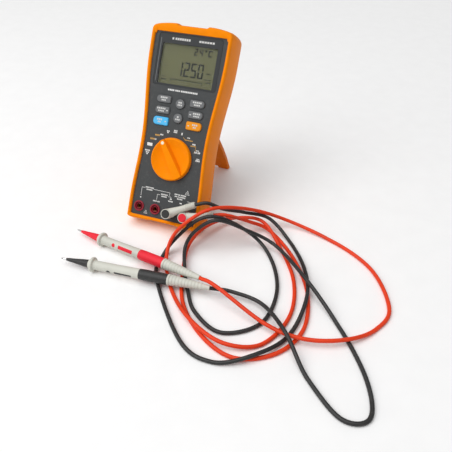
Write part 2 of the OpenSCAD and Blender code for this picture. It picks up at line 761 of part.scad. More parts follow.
// Round and long windows that show the coloured core, narrowed by gap all round
module probe_windows(gap) {
    for (side = [-1, 1]) {
        translate([side * 5, 0, 54.5]) rotate([0, 90, 0]) cylinder(r = 2.1 - gap, h = 4, center = true);
        translate([side * 5, 0, 70]) cube([4, 3.8 - 2 * gap, 18.5 - 2 * gap], center = true);
    }
}

module probe_grip() {
    rotate_extrude() polygon([[0, 39.2], [core_r, 39.2], [core_r, body_end], [5.2, body_end],
        [5.5, body_end + 5], [5.5, grip_end - 6], [5.3, grip_end], [0, grip_end]]);
    intersection() {
        probe_windows(0.05);
        cylinder(r = 4.7, h = 80);
    }
}

boot_rings = 10;
boot_pitch = 3.2;

// Ringed boot that narrows towards the lead
module probe_boot() rotate_extrude() polygon(concat(
    [[0, grip_end], [5.6, grip_end], [5.6, grip_end + 2], [5, grip_end + 2.4], [5, grip_end + 3]],
    [for (i = [0:boot_rings - 1]) let (z = grip_end + 3.4 + i * boot_pitch, r = 5.3 - 0.21 * i)
        each [[r, z], [r, z + 1.8], [r - 0.35, z + 2.2], [r - 0.35, z + boot_pitch - 0.4]]],
    [[2.7, probe_len - 4], [2.5, probe_len], [0, probe_len]]
));

module black_probe_tip() color(steel) black_axis() probe_tip();
module black_probe_nose() color(black) black_axis() probe_nose();
module black_probe_body() color(pale_grey) black_axis() probe_body();
module black_probe_grip() color(black) black_axis() probe_grip();
module black_probe_boot() color(pale_grey) black_axis() probe_boot();
module red_probe_tip() color(steel) red_axis() probe_tip();
module red_probe_nose() color(red) red_axis() probe_nose();
module red_probe_body() color(pale_grey) red_axis() probe_body();
module red_probe_grip() color(red) red_axis() probe_grip();
module red_probe_boot() color(pale_grey) red_axis() probe_boot();

holster();
front_case();
rear_case();
case_gasket();
case_screws();
battery_door();
door_gasket();
door_screws();
battery_cells();
battery_contacts();
tilt_stand();
stand_pins();
main_board();
lcd_glass();
lcd_frame();
light_guide();
zebra_strips();
display_lens();
keypad_mat();
key_top_left();
key_top_right();
key_middle_left();
key_middle_right();
key_blue();
key_orange();
key_round_upper();
key_round_lower();
knob();
knob_pointer();
knob_seal();
switch_rotor();
rotor_contacts();
detent_plungers();
jack_shrouds_red();
jack_shroud_black();
jack_sleeves();
fuse_main();
fuse_low();
fuse_clips();
buzzer();
infrared_window();
black_plug_shell();
black_plug_cap();
black_plug_pin();
black_lead();
black_probe_tip();
black_probe_nose();
black_probe_body();
black_probe_grip();
black_probe_boot();
red_plug_shell();
red_plug_cap();
red_plug_pin();
red_lead();
red_probe_tip();
red_probe_nose();
red_probe_body();
red_probe_grip();
red_probe_boot();
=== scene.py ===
"""Looks of a digital multimeter in an orange holster, with its two test leads."""

import json
import math

import bmesh
import bpy
from mathutils import Matrix, Vector


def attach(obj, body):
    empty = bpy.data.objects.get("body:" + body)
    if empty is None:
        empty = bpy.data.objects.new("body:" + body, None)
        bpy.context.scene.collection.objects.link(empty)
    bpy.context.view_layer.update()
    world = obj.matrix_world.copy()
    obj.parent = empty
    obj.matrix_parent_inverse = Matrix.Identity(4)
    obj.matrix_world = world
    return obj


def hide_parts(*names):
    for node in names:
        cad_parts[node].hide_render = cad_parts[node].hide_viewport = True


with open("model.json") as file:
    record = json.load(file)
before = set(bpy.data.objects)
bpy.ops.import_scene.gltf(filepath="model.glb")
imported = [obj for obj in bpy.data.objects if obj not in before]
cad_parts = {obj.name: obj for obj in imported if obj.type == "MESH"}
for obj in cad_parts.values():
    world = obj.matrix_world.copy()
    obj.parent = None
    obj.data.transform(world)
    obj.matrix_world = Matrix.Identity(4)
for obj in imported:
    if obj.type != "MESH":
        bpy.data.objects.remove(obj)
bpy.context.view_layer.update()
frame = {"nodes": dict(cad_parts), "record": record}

MM = 0.001
BODY = "meter"

# ---------------------------------------------------------------- where the meter stands
# Pieces of the meter are drawn in millimetres with its face flat: x across, y up the face, z out
# of it. POSED leans them back and puts the middle of the meter over the origin.
LEAN = math.radians(32)
CONTACT_DEPTH = 14
MID_Y = 63
POSED = (Matrix.Scale(MM, 4) @ Matrix.Translation((0, -MID_Y, 0))
         @ Matrix.Rotation(math.pi / 2 - LEAN, 4, "X") @ Matrix.Translation((0, 0, CONTACT_DEPTH)))

# ---------------------------------------------------------------- camera
camera_data = bpy.data.cameras.new("camera")
camera_data.lens = 39.8
camera_data.sensor_width = 36
camera = bpy.data.objects.new("camera", camera_data)
CAMERA_PLACE = (0.2071, -0.4382, 0.3560)
CAMERA_TILT = 50
CAMERA_TURN = 19.91
camera.location = CAMERA_PLACE
camera.rotation_euler = (math.radians(CAMERA_TILT), 0, math.radians(CAMERA_TURN))
bpy.context.scene.collection.objects.link(camera)
bpy.context.scene.camera = camera


# ---------------------------------------------------------------- materials
def new_material(name):
    mat = bpy.data.materials.new(name)
    mat.use_nodes = True
    return mat, mat.node_tree, mat.node_tree.nodes["Principled BSDF"]


def add_noise(tree, coords, scale, detail=3.0, rough=0.55):
    noise = tree.nodes.new("ShaderNodeTexNoise")
    noise.inputs["Scale"].default_value = scale
    noise.inputs["Detail"].default_value = detail
    noise.inputs["Roughness"].default_value = rough
    tree.links.new(coords, noise.inputs["Vector"])
    return noise.outputs["Fac"]


def add_range(tree, value, low, high, from_low=0.3, from_high=0.7):
    node = tree.nodes.new("ShaderNodeMapRange")
    node.inputs["From Min"].default_value = from_low
    node.inputs["From Max"].default_value = from_high
    node.inputs["To Min"].default_value = low
    node.inputs["To Max"].default_value = high
    tree.links.new(value, node.inputs["Value"])
    return node.outputs["Result"]


def add_mix(tree, factor, first, second):
    node = tree.nodes.new("ShaderNodeMix")
    node.data_type = "RGBA"
    tree.links.new(factor, node.inputs["Factor"])
    for socket, value in (("A", first), ("B", second)):
        target = [i for i in node.inputs if i.name == socket and i.type == "RGBA"][0]
        if isinstance(value, tuple):
            target.default_value = (*value, 1)
        else:
            tree.links.new(value, target)
    return [o for o in node.outputs if o.type == "RGBA"][0]


def shade(colour, gain):
    return tuple(min(1.0, c * gain) for c in colour)


def moulded(name, colour, rough=0.5, grain=1400, bump=0.15, tint=0.08, dust=0.0, gloss=0.5, coat=0.0,
            metallic=0.0, painted_edge_highlight=0.0):
    """Moulded plastic, rubber or metal, with fine grain, slow colour changes, dust, and edges lightened as a
    painted highlight.
    """
    mat, tree, bsdf = new_material(name)
    coords = tree.nodes.new("ShaderNodeTexCoord").outputs["Object"]
    slow = add_noise(tree, coords, 45)
    fine = add_noise(tree, coords, grain, 2.0)
    tone = add_mix(tree, add_range(tree, slow, 0, 1), shade(colour, 1 - tint), shade(colour, 1 + tint))
    if dust:
        specks = add_range(tree, add_noise(tree, coords, 260, 6.0, 0.7), 0, dust, 0.52, 0.75)
        tone = add_mix(tree, specks, tone, (0.75, 0.72, 0.66))
    # Where asked, edges found by pointiness are lightened: a painted highlight along the rims
    if painted_edge_highlight:
        geometry = tree.nodes.new("ShaderNodeNewGeometry")
        edge = add_range(tree, geometry.outputs["Pointiness"], 0, painted_edge_highlight, 0.52, 0.62)
        tone = add_mix(tree, edge, tone, shade(colour, 1.7))
    tree.links.new(tone, bsdf.inputs["Base Color"])
    tree.links.new(add_range(tree, slow, rough - 0.05, rough + 0.07), bsdf.inputs["Roughness"])
    relief = tree.nodes.new("ShaderNodeBump")
    relief.inputs["Strength"].default_value = bump
    relief.inputs["Distance"].default_value = 0.0002
    tree.links.new(fine, relief.inputs["Height"])
    tree.links.new(relief.outputs["Normal"], bsdf.inputs["Normal"])
    bsdf.inputs["Specular IOR Level"].default_value = gloss
    bsdf.inputs["Coat Weight"].default_value = coat
    bsdf.inputs["Metallic"].default_value = metallic
    return mat


def clear(name, colour, alpha, rough=0.06):
    """A thin clear cover: mostly see-through, with a soft gloss."""
    mat, tree, bsdf = new_material(name)
    coords = tree.nodes.new("ShaderNodeTexCoord").outputs["Object"]
    smear = add_noise(tree, coords, 90, 4.0)
    tree.links.new(add_range(tree, smear, rough, rough + 0.06), bsdf.inputs["Roughness"])
    bsdf.inputs["Base Color"].default_value = (*colour, 1)
    bsdf.inputs["Alpha"].default_value = alpha
    return mat


MATERIALS = {
    "holster_rubber": moulded("holster_rubber", (0.95, 0.262, 0.004), 0.5, 1700, 0.22, 0.05, 0.02, 0.22),
    # The stand's orange is darker and redder than the holster's: painted shade for its shaded underside
    "stand_plastic": moulded("stand_plastic", (0.74, 0.17, 0.004), 0.55, 1700, 0.2, 0.06, 0.03, 0.22),
    "case_dark": moulded("case_dark", (0.060, 0.064, 0.066), 0.62, 2400, 0.3, 0.08, 0.04, 0.25),
    "black_rubber": moulded("black_rubber", (0.02, 0.02, 0.02), 0.7),
    "steel": moulded("steel", (0.62, 0.62, 0.64), 0.3, 3000, 0.05, 0.05, 0, 0.5, 0, 1.0),
    "cell_wrap": moulded("cell_wrap", (0.55, 0.33, 0.08), 0.3),
    "board": moulded("board", (0.02, 0.16, 0.08), 0.35, 500, 0.3),
    "lcd": moulded("lcd", (0.212, 0.217, 0.088), 0.45, 3500, 0.04, 0.04, 0, 0.15),
    "light_plastic": moulded("light_plastic", (0.8, 0.81, 0.79), 0.35),
    "zebra": moulded("zebra", (0.75, 0.4, 0.4), 0.6),
    "lens": clear("lens", (0.05, 0.055, 0.05), 0.16),
    "mat_rubber": moulded("mat_rubber", (0.4, 0.4, 0.38), 0.7),
    "key_grey": moulded("key_grey", (0.135, 0.14, 0.145), 0.55, 2600, 0.2, 0.06, 0.04),
    "key_blue": moulded("key_blue", (0.06, 0.48, 0.86), 0.5, 2600, 0.15, 0.05, 0.03),
    "key_orange": moulded("key_orange", (0.84, 0.31, 0.025), 0.5, 2600, 0.15, 0.05, 0.03),
    "knob_orange": moulded("knob_orange", (1.0, 0.27, 0.002), 0.42, 2000, 0.12, 0.05, 0.015, 0.25),
    "cream": moulded("cream", (0.9, 0.85, 0.66), 0.5),
    "white_plastic": moulded("white_plastic", (0.75, 0.75, 0.73), 0.45),
    # Brass is far darker than bright brass: painted shade for the sleeves deep in the jacks, which darkens
    # the contacts and rotor too
    "brass": moulded("brass", (0.42, 0.27, 0.1), 0.45, 3000, 0.05, 0.06, 0, 0.5, 0, 1.0),
    "jack_red": moulded("jack_red", (0.30, 0.006, 0.022), 0.32, 1800, 0.05, 0.08, 0, 0.5),
    "jack_black": moulded("jack_black", (0.02, 0.02, 0.02), 0.35),
    "ceramic": moulded("ceramic", (0.8, 0.78, 0.7), 0.3),
    "ir_plastic": moulded("ir_plastic", (0.03, 0.002, 0.006), 0.15),
    "probe_grey": moulded("probe_grey", (0.63, 0.63, 0.56), 0.55, 2200, 0.25, 0.06, 0.05),
    "probe_black": moulded("probe_black", (0.022, 0.022, 0.022), 0.5, 2200, 0.2, 0.1, 0.04),
    "probe_red": moulded("probe_red", (0.84, 0.02, 0.04), 0.48, 2200, 0.2, 0.06, 0.02, 0.3),
    "lead_black": moulded("lead_black", (0.018, 0.018, 0.018), 0.48, 900, 0.1, 0.12, 0.05),
    "lead_red": moulded("lead_red", (0.80, 0.05, 0.008), 0.45, 900, 0.08, 0.08, 0.01, 0.3),
    "probe_metal": moulded("probe_metal", (0.7, 0.7, 0.7), 0.2, 3000, 0.03, 0.04, 0, 0.5, 0, 1.0),
}
# Gloss on the orange pieces keeps their own hue
for orange_slot in ("holster_rubber", "stand_plastic", "knob_orange", "key_orange"):
    shader = MATERIALS[orange_slot].node_tree.nodes["Principled BSDF"]
    shader.inputs["Specular Tint"].default_value = (1.0, 0.42, 0.06, 1.0)

PRINT_WHITE = moulded("print_white", (0.78, 0.78, 0.76), 0.5, 3000, 0.05, 0.05)
PRINT_GOLD = moulded("print_gold", (0.62, 0.33, 0.06), 0.5, 3000, 0.05, 0.05)
PRINT_PALE = moulded("print_pale", (0.62, 0.62, 0.6), 0.5, 3000, 0.05, 0.05)
LCD_INK = moulded("lcd_ink", (0.02, 0.022, 0.016), 0.5, 3000, 0.02, 0.05, gloss=0.1)
# A light grey for a painted highlight along the lens's left edge
LENS_HIGHLIGHT = moulded("lens_highlight_paint", (0.17, 0.18, 0.19), 0.4, 3000, 0.03, 0.05)
BEZEL_INK = moulded("bezel_ink", (0.045, 0.048, 0.05), 0.5, 3000, 0.03, 0.05, gloss=0.15)
FLOOR = moulded("floor", (0.98, 0.98, 0.98), 0.8, 300, 0.02, 0.01, gloss=0.2)

SLOTS = {s["node"]: s["material_slot"] for s in frame["record"]["subparts"]}
BODY_OF = {n: b for b, nodes in frame["record"]["behaviour"]["bodies"].items() for n in nodes}


# ---------------------------------------------------------------- mesh helpers
def link(name, mesh, material, body):
    obj = bpy.data.objects.new(name, mesh)
    bpy.context.scene.collection.objects.link(obj)
    obj.data.materials.append(material)
    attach(obj, body)
    return obj


def smooth_by_angle(mesh, degrees=35):
    for face in mesh.polygons:
        face.use_smooth = True
    mesh.set_sharp_from_angle(angle=math.radians(degrees))


def mesh_from(name, points, faces, transform=None):
    mesh = bpy.data.meshes.new(name)
    mesh.from_pydata([tuple(p) for p in points], [], faces)
    if transform is not None:
        mesh.transform(transform)
    mesh.validate()
    return mesh


def rounded(node, radius, segments=2, angle=35, material=None):
    """The CAD node with its sharp edges rounded, in a piece that replaces it."""
    source = frame["nodes"][node]
    mesh = source.data.copy()
    work = bmesh.new()
    work.from_mesh(mesh)
    bmesh.ops.remove_doubles(work, verts=work.verts, dist=0.002 * MM)
    bmesh.ops.dissolve_limit(work, angle_limit=math.radians(0.6), verts=work.verts, edges=work.edges)
    work.to_mesh(mesh)
    work.free()
    mesh.materials.clear()
    piece = link(node + "_looks", mesh, material or MATERIALS[SLOTS[node]], BODY_OF[node])
    bevel = piece.modifiers.new("round", "BEVEL")
    bevel.width = radius * MM
    bevel.segments = segments
    bevel.limit_method = "ANGLE"
    bevel.angle_limit = math.radians(angle)
    bevel.use_clamp_overlap = True
    smooth_by_angle(mesh, 30)
    bevel.harden_normals = True
    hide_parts(node)
    return piece


# ---------------------------------------------------------------- leads
LEAD_D = 3.8
ROUTE_STEPS = 10
# The lead's arm on each plug: height over the face, length, and each plug's x and turn in degrees
ARM_Z = 10.5
ARM_LEN = 33
JACK_Y = 18.8
ARMS = {"black": (9.5, 28.5), "red": (28.5, 16.4)}
# Each probe's tip, heading and rise in degrees
PROBE_LEN = 158
PROBES = {"black": ((-74, -151, 6.8), 3.4, 1.5), "red": ((-84, -106, 5.6), -10.8, 3.15)}


def world_mm(x, y, z):
    return (POSED @ Vector((x, y, z))) / MM


def arm_end(name):
    x, angle = ARMS[name]
    turn = math.radians(angle)
    return world_mm(x + ARM_LEN * math.cos(turn), JACK_Y + ARM_LEN * math.sin(turn), ARM_Z)


def probe_end(name):
    tip, heading, rise = PROBES[name]
    h = math.radians(heading)
    e = math.radians(rise)
    along = Vector((math.cos(e) * math.cos(h), math.cos(e) * math.sin(h), math.sin(e)))
    return Vector(tip) + PROBE_LEN * along


# Route points in millimetres, from the plug's arm to the probe's boot
ROUTES = {
    "black": [
        (51, -62, 45), (66, -56, 37), (83, -37, 23), (108, -26, 13), (136, -43, 2), (160, -80, 5),
        (171, -118, 6.5), (166, -162, 2), (145, -195, 6.8), (113, -211, 2), (78, -200, 2),
        (26, -139, 2), (19, -109, 3), (28, -90, 16), (50, -80, 38), (72, -71, 37), (101, -57, 10),
        (125, -76, 2), (142, -116, 2), (139, -158, 2), (109, -180, 2), (78, -166, 2), (61, -143, 2.2),
        (50, -124, 6.8), (39, -96, 11), (48, -87, 28), (68, -80, 41), (93, -64, 23), (124, -60, 8),
        (166, -101, 12), (204, -137, 2), (235, -183, 2), (243, -217, 2), (222, -225, 2),
        (190, -199, 2), (163, -168, 12), (134, -140, 6.5), (104, -136, 7.5),
    ],
    "red": [
        (69, -67, 38.5), (79, -60, 33), (91, -42, 16), (108, -34, 5), (132, -51, 2), (156, -81, 2),
        (172, -115, 2), (176, -154, 2), (160, -185, 2), (128, -201, 2), (94, -189, 2), (63, -159, 2),
        (45, -116, 2), (39, -86, 6), (48, -62, 13), (65, -35, 8), (100, -30, 11), (130, -58, 3),
        (154, -98, 2), (161, -142, 2), (146, -180, 2), (115, -193, 6.5), (79, -179, 6.5),
        (48, -150, 2), (26, -116, 3), (25, -96, 19), (41, -83, 37.5), (62, -68, 46), (90, -36, 28),
        (124, -17, 9), (176, -26, 2), (222, -55, 2), (245, -101, 2), (236, -131, 2), (212, -155, 6.8),
        (178, -166, 7), (142, -161, 7), (90, -142, 16),
    ],
}


def spline(a, b, c, d, t):
    """A point between b and c on a smooth line that goes on to a and d."""
    square = 2 * a - 5 * b + 4 * c - d
    cube = 3 * b - a - 3 * c + d
    return 0.5 * (2 * b + (c - a) * t + square * t * t + cube * t * t * t)


def smooth_route(route, steps):
    points = []
    for i in range(len(route) - 1):
        before = route[i - 1] if i else 2 * route[0] - route[1]
        after = route[i + 2] if i + 2 < len(route) else 2 * route[-1] - route[-2]
        points += [spline(before, route[i], route[i + 1], after, k / steps) for k in range(steps)]
    points.append(route[-1])
    for p in points:
        p.z = max(p.z, LEAD_D / 2 + 0.1)
    return points


def lead(name):
    route = [arm_end(name)] + [Vector(p) for p in ROUTES[name]] + [probe_end(name)]
    points = [p * MM for p in smooth_route(route, ROUTE_STEPS)]
    curve = bpy.data.curves.new(name + "_lead_looks", "CURVE")
    curve.dimensions = "3D"
    curve.bevel_depth = LEAD_D / 2 * MM
    curve.bevel_resolution = 4
    line = curve.splines.new("POLY")
    line.points.add(len(points) - 1)
    for target, p in zip(line.points, points):
        target.co = (*p, 1)
    line.use_smooth = True
    piece = link(name + "_lead_looks", curve, MATERIALS["lead_" + name], BODY)
    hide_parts(name + "_lead")


LEAD_PIECES = {"black": [], "red": []}
EDGE_RADII = {"plug_shell": 0.35, "plug_cap": 0.25, "probe_grip": 0.25, "probe_boot": 0.18}
for colour, pieces in LEAD_PIECES.items():
    for part, radius in EDGE_RADII.items():
        pieces.append(rounded(f"{colour}_{part}", radius))
    lead(colour)


# ---------------------------------------------------------------- holster
HOLSTER_LEN = 212.5
TOP_HALF = 46
WAIST_HALF = 40
BOTTOM_HALF = 43
FOOT_TOP_Y = 25
WAIST_Y = 92
HEAD_Y = 182
CORNER_R = 7
INNER_R = 1
# The crown and the arch fade out over this inset
CROWN_FADE = 10
RECESS_HALF = 17.5
RECESS_DEPTH = 1.8
CROWN_DROP = 2.8
ARCH_RISE = 2.2
ARCH_HALF = 40
NOTCH_RISE = 0.5
OUTLINE_STEPS = 44


def ease(t):
    return (1 - math.cos(math.pi * t)) / 2


def half_width(y):
    if y < FOOT_TOP_Y:
        return BOTTOM_HALF
    if y < WAIST_Y:
        return BOTTOM_HALF + (WAIST_HALF - BOTTOM_HALF) * ease((y - FOOT_TOP_Y) / (WAIST_Y - FOOT_TOP_Y))
    if y < HEAD_Y:
        return WAIST_HALF + (TOP_HALF - WAIST_HALF) * ease((y - WAIST_Y) / (HEAD_Y - WAIST_Y))
    return TOP_HALF


def crown(x):
    """How far the end of the holster is set in at x: a shallow middle recess between crowned lobes."""
    step = RECESS_DEPTH * (1 - ease(min(max((x - RECESS_HALF + 2.3) / 2.6, 0), 1)))
    return step + CROWN_DROP * (max(x - RECESS_HALF, 0) / 22.5) ** 2


def corner(inset):
    return max(CORNER_R - inset, INNER_R)


def arch(x):
    """How far the foot of the holster rises at x: a shallow arch with a slightly deeper middle."""
    notch = NOTCH_RISE * (1 - ease(min(max((x - 15) / 2, 0), 1)))
    return ARCH_RISE * math.cos(math.pi / 2 * x / ARCH_HALF) + notch


def half_outline(side, foot, head):
    side_r = corner(side)
    low_x = BOTTOM_HALF - side - side_r
    top_x = TOP_HALF - side - side_r
    low_y = arch(BOTTOM_HALF - CORNER_R) + foot + corner(foot)
    top_y = HOLSTER_LEN - crown(TOP_HALF - CORNER_R) - head - corner(head)
    steps = [i / OUTLINE_STEPS for i in range(OUTLINE_STEPS)]
    turns = [math.radians(7.5 * i) for i in range(13)]
    points = [(low_x * t, arch(low_x * t) * (1 - foot / CROWN_FADE) + foot) for t in steps]
    points += [(low_x + side_r * math.sin(a), low_y - corner(foot) * math.cos(a)) for a in turns]
    points += [(half_width(14 + 180 * t) - side, 14 + 180 * t) for t in steps]
    points += [(top_x + side_r * math.cos(a), top_y + corner(head) * math.sin(a)) for a in turns]
    points += [(top_x * t, HOLSTER_LEN - crown(top_x * t) * (1 - head / CROWN_FADE) - head)
               for t in reversed(steps)]
    return points


def whole_outline(half):
    return half + [(-x, y) for x, y in reversed(half[1:-1])]


# Rows of side, foot and head insets, depth, and height of the foot above the ground plane
# The holster's section from its inner rim, round the outside and back inside. Each row holds the
# side, foot and head insets, the depth, and how far above the ground its foot stays.
PROFILE = [
    (6.0, 9.1, 10.1, 0.0, 9), (5.95, 9.05, 10.05, 1.0, 9), (5.8, 8.8, 9.8, 1.35, 8.8),
    (5.0, 7.9, 7.2, 1.95, 0), (4.4, 7.0, 5.0, 2.36, 0), (3.7, 6.3, 3.6, 2.38, 0),
    (3.0, 5.6, 2.6, 2.1, 0), (2.45, 5.1, 1.8, 1.5, 0), (2.05, 4.7, 1.3, 0.6, 0),
    (1.75, 4.35, 0.9, -0.6, 0), (1.45, 3.9, 0.6, -2.2, 0), (1.1, 3.4, 0.35, -4.2, 0),
    (0.75, 3.0, 0.2, -6.5, 0), (0.42, 2.7, 0.1, -9.5, 0), (0.15, 2.5, 0.02, -12.5, 0),
    (0, 2.4, 0, -16, 0), (0, 2.4, 0, -18, 0), (0.2, 2.6, 0.2, -24, 0),
    (0.7, 3.1, 0.7, -27.5, 0), (1.5, 3.9, 1.5, -30.3, 0), (2.6, 5.0, 2.6, -32, 0),
    (4.2, 6.6, 4.2, -32.9, 0), (5, 7.4, 5, -33, 0), (7.7, 10.1, 7.7, -33, 7.7),
    (8, 10.4, 8, -32.6, 8), (8, 10.4, 8, -30.6, 8), (3.05, 5.45, 3.05, -30.6, 3.05),
    (3.05, 5.45, 3.05, -19, 3.05), (3.05, 5.45, 3.05, 0.02, 3.05),
]


def holster():
    rings = []
    for side, foot, head, depth, above in PROFILE:
        floor_y = above - (depth + CONTACT_DEPTH) * math.tan(LEAN)
        outline = whole_outline(half_outline(side, foot, head))
        rings.append([(x, max(y, floor_y), depth) for x, y in outline])
    n, m = len(rings[0]), len(rings)
    faces = [(j * n + i, j * n + (i + 1) % n, (j + 1) % m * n + (i + 1) % n, (j + 1) % m * n + i)
             for j in range(m) for i in range(n)]
    mesh = mesh_from("holster_looks", [p for ring in rings for p in ring], faces, POSED)
    work = bmesh.new()
    work.from_mesh(mesh)
    bmesh.ops.remove_doubles(work, verts=work.verts, dist=0.005 * MM)
    bmesh.ops.recalc_face_normals(work, faces=work.faces)
    work.to_mesh(mesh)
    work.free()
    smooth_by_angle(mesh, 40)
    shell = link("holster_looks", mesh, MATERIALS["holster_rubber"], BODY)
    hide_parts("holster")
    stand_band()


def block(name, material, body, low, high, radius):
    points = [(x, y, z) for z in (low[2], high[2]) for y in (low[1], high[1]) for x in (low[0], high[0])]
    faces = [(0, 2, 3, 1), (4, 5, 7, 6), (0, 1, 5, 4), (2, 6, 7, 3), (0, 4, 6, 2), (1, 3, 7, 5)]
    piece = link(name, mesh_from(name, points, faces, POSED), material, body)
    bevel = piece.modifiers.new("round", "BEVEL")
    bevel.width = radius * MM
    bevel.segments = 3
    smooth_by_angle(piece.data, 30)


HINGE_Y = 124
HINGE_Z = -36.3
LUG_X0 = 24.6
LUG_X1 = 29.2
LUG_R = 4
BAND_HALF_X = 37
BAND_HALF_Y = 12


def prism(name, material, body, outline, x0, x1):
    """A piece with the same outline in y and z from x0 to x1."""
    n = len(outline)
    points = [(x, y, z) for x in (x0, x1) for y, z in outline]
    faces = [tuple(reversed(range(n))), tuple(range(n, 2 * n))]
    faces += [(i, (i + 1) % n, n + (i + 1) % n, n + i) for i in range(n)]
    piece = link(name, mesh_from(name, points, faces, POSED), material, body)
    bevel = piece.modifiers.new("round", "BEVEL")
    bevel.width = 0.4 * MM
    bevel.segments = 2
    bevel.limit_method = "ANGLE"
    bevel.angle_limit = math.radians(50)
    smooth_by_angle(piece.data, 30)


def stand_band():
    """The band across the holster's back, and the two lugs on it that hold the stand's pins."""
    rubber = MATERIALS["holster_rubber"]
    block("holster_band", rubber, BODY, (-BAND_HALF_X, HINGE_Y - BAND_HALF_Y, -33),
          (BAND_HALF_X, HINGE_Y + BAND_HALF_Y, -30.7), 0.5)
    turns = [math.radians(a) for a in range(180, 361, 15)]
    outline = [(HINGE_Y + LUG_R * math.cos(a), HINGE_Z + LUG_R * math.sin(a)) for a in turns]
    outline += [(HINGE_Y + LUG_R, HINGE_Z + LUG_R), (HINGE_Y - LUG_R, HINGE_Z + LUG_R)]
    prism("holster_lug_left", rubber, BODY, outline, -LUG_X1, -LUG_X0)
    prism("holster_lug_right", rubber, BODY, outline, LUG_X0, LUG_X1)


holster()

# ---------------------------------------------------------------- cases, keys, knob and jacks
ROUNDED = {
    "front_case": 0.15, "rear_case": 0.4, "battery_door": 0.4, "tilt_stand": 0.5, "stand_pins": 0.2,
    "key_top_left": 0.45, "key_top_right": 0.45, "key_middle_left": 0.45, "key_middle_right": 0.45,
    "key_blue": 0.45, "key_orange": 0.45, "key_round_upper": 0.45, "key_round_lower": 0.45,
    "knob": 0.5, "knob_pointer": 0.2, "jack_shrouds_red": 0.25, "jack_shroud_black": 0.25,
    "jack_sleeves": 0.1, "case_screws": 0.15, "door_screws": 0.12, "infrared_window": 0.15,
}
for node, radius in ROUNDED.items():
    rounded(node, radius, 3 if radius > 0.3 else 2)

for node, obj in frame["nodes"].items():
    obj.data.materials.clear()
    obj.data.materials.append(MATERIALS[SLOTS[node]])


# ---------------------------------------------------------------- prints on the face
PRINT_H = 0.05


def flat_shapes(name, shapes, material, body, base, height=PRINT_H):
    """Thin raised shapes in one piece: each shape is a list of corners in the plane of the face."""
    points, faces = [], []
    for corners in shapes:
        start, n = len(points), len(corners)
        points += [(x, y, base) for x, y in corners] + [(x, y, base + height) for x, y in corners]
        faces.append(tuple(start + n + i for i in range(n)))
        faces.append(tuple(start + i for i in reversed(range(n))))
        faces += [(start + i, start + (i + 1) % n, start + n + (i + 1) % n, start + n + i) for i in range(n)]
    return link(name, mesh_from(name, points, faces, POSED), material, body)


def bar(x, y, length, width, degrees=0.0):
    c = math.cos(math.radians(degrees))
    s = math.sin(math.radians(degrees))
    half_l = length / 2
    half_w = width / 2
    corners = [(-half_l, -half_w), (half_l, -half_w), (half_l, half_w), (-half_l, half_w)]
    return [(x + a * c - b * s, y + a * s + b * c) for a, b in corners]


def stroke(points, width):
    """Bars along a line of points."""
    out = []
    for (x0, y0), (x1, y1) in zip(points, points[1:]):
        length = math.hypot(x1 - x0, y1 - y0)
        out.append(bar((x0 + x1) / 2, (y0 + y1) / 2, length + width, width,
                       math.degrees(math.atan2(y1 - y0, x1 - x0))))
    return out


def words(x, y, length, size, letters):
    """A row of small dashes that stands where print is: letters gives the dashes in each word."""
    gap, space = 0.35, 0.9
    total = sum(n + gap * (n - 1) for n in letters) + space * (len(letters) - 1)
    unit = length / total
    out, at = [], x - length / 2
    for n in letters:
        for _ in range(n):
            out.append(bar(at + unit / 2, y, unit, size))
            at += unit * (1 + gap)
        at += unit * (space - gap)
    return out


def triangle(x, y, size):
    turns = [math.radians(a) for a in (90, 210, 330)]
    corners = [(x + size * math.cos(a), y + size * math.sin(a)) for a in turns]
    return stroke(corners + corners[:1], 0.35) + [bar(x, y + 0.1, 0.4, size * 0.6)]


KNOB_Y = 74.6
LABEL_R = 29.4
FIRST_LABEL = 173.5
LABEL_STEP = 16.5
# For each switch position: rows of dashes beside it, as along and up offsets, length, height and letters
WHITE_LABELS = [
    [(0.2, 1.5, 5.6, 1.5, [4]), (0.4, -0.5, 3.6, 1.3, [2]), (0.4, -2.2, 1.6, 1.2, [1])],
    [(-0.3, 0, 6.0, 3.2, [1])],
    [(0.8, -0.9, 2.0, 1.4, [2])],
    [(1.0, -0.8, 3.4, 1.5, [3])],
    [(0, 0.5, 3.0, 1.3, [2]), (0, -1.1, 1.8, 1.1, [1])],
    [(0, 0.8, 3.8, 1.3, [3]), (0, -0.9, 3.8, 1.3, [3])],
    [(-0.8, -0.3, 1.4, 2.4, [1])],
    [(-0.4, 0.2, 3.0, 1.0, [2])],
    [(0, 0, 3.4, 1.5, [2])],
    [(0.4, 1.4, 3.0, 1.0, [2]), (0.4, -0.6, 6.4, 1.7, [2, 2])],
    [(0, 1.1, 3.0, 0.9, [2]), (0, -0.7, 4.4, 1.8, [3])],
]
white = []
gold = []
for i, rows in enumerate(WHITE_LABELS):
    turn = math.radians(FIRST_LABEL - LABEL_STEP * i)
    label_x = LABEL_R * math.cos(turn)
    label_y = KNOB_Y + LABEL_R * math.sin(turn)
    for along, up, length, size, letters in rows:
        white += words(label_x + along, label_y + up, length, size, letters)
gold += words(-25.0, 92.4, 5.4, 1.7, [4]) + words(-20.3, 97.0, 5.0, 1.7, [4])
gold += words(15.6, 97.2, 8.6, 1.0, [5]) + words(21.4, 92.2, 5.6, 1.0, [3])
gold += stroke([(9.2, 99.4), (11.0, 97.6)], 0.4) + stroke([(24.6, 92.0), (24.6, 86.4), (23.4, 85.6)], 0.35)
white += words(0, 145.2, 33, 1.7, [4, 3, 10])
white += triangle(24, 42.6, 2.7) + triangle(-20, 13.2, 2.3) + triangle(0.6, 13.0, 2.0)
# Brackets that join the jacks, with their print
white += stroke([(-28.5, 30.5), (-28.5, 39.5), (-25, 39.5)], 0.4)
white += stroke([(-14.2, 39.5), (4.5, 39.5), (4.5, 36.8)], 0.4)
white += stroke([(-9.5, 29.5), (-9.5, 35.2), (-6.6, 35.2)], 0.4)
white += stroke([(3.4, 35.2), (6.5, 35.2), (6.5, 33)], 0.4)
white += stroke([(28.5, 29.8), (28.5, 34.2), (25.5, 34.2)], 0.4)
